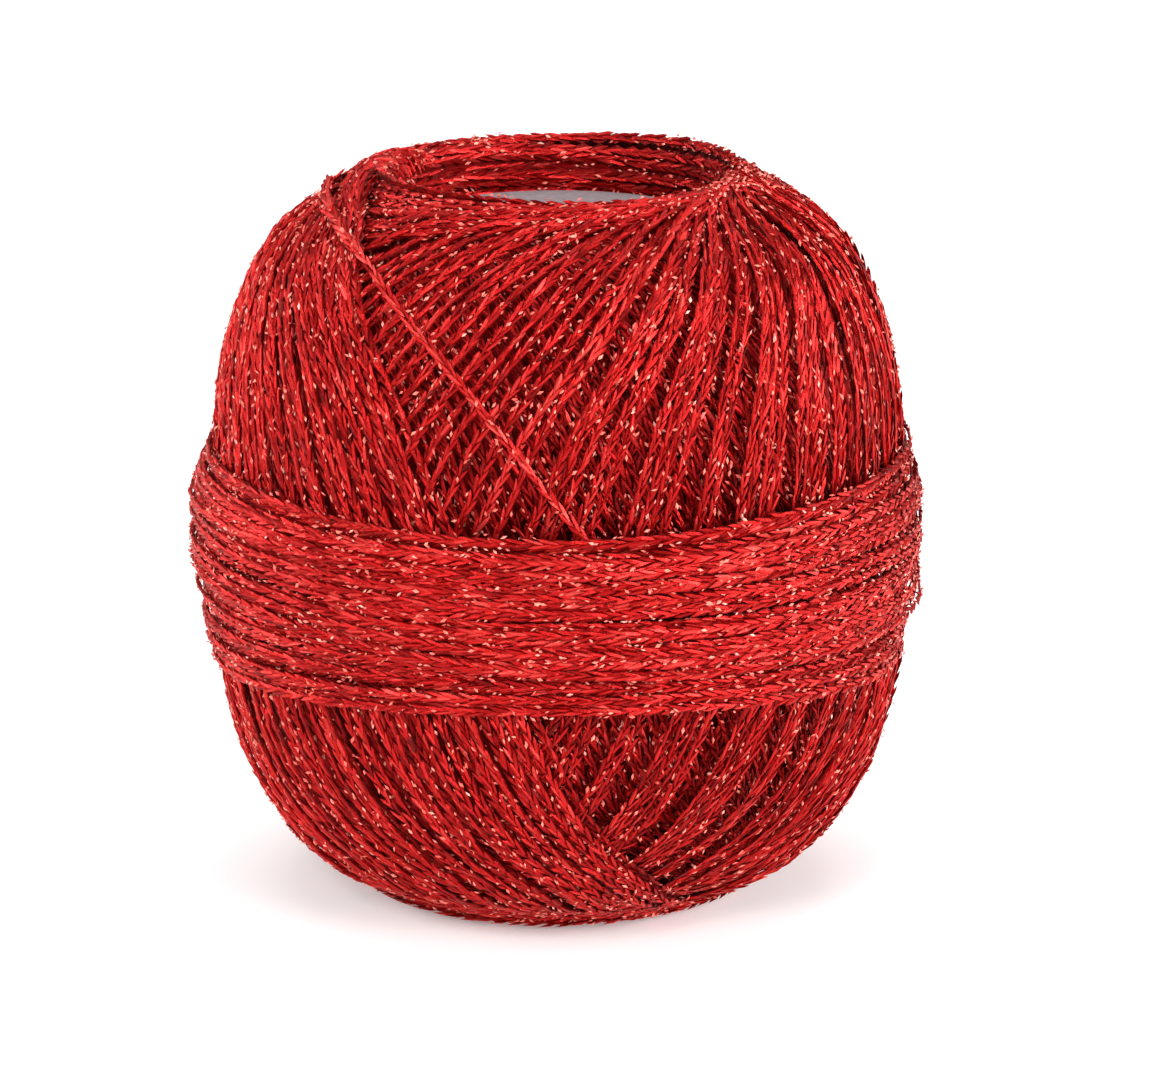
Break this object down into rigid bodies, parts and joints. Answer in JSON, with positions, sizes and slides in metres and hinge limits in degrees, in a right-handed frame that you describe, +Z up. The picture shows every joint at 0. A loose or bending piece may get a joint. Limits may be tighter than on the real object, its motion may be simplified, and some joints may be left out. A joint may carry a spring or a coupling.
{
  "type": "ball of crochet yarn",
  "caption": "Ball of red metallic crochet yarn wound in fans with a belt of last turns, standing on its rim, with a plain card disc in the top of its hollow",
  "frame": {"origin": "middle of the bottom of the ball, on the surface that it stands on", "axes": "+Z up along the hollow through the ball, -Y towards the front, +X to the right seen from the front"},
  "size_m": [0.0596, 0.0596, 0.06],
  "materials": {
    "yarn": "red knitted-chain yarn with a metallic glint",
    "card": "plain matt grey card"
  },
  "bodies": {
    "root": {"wound_ball": "yarn", "card_disc": "card"}
  },
  "joints": []
}
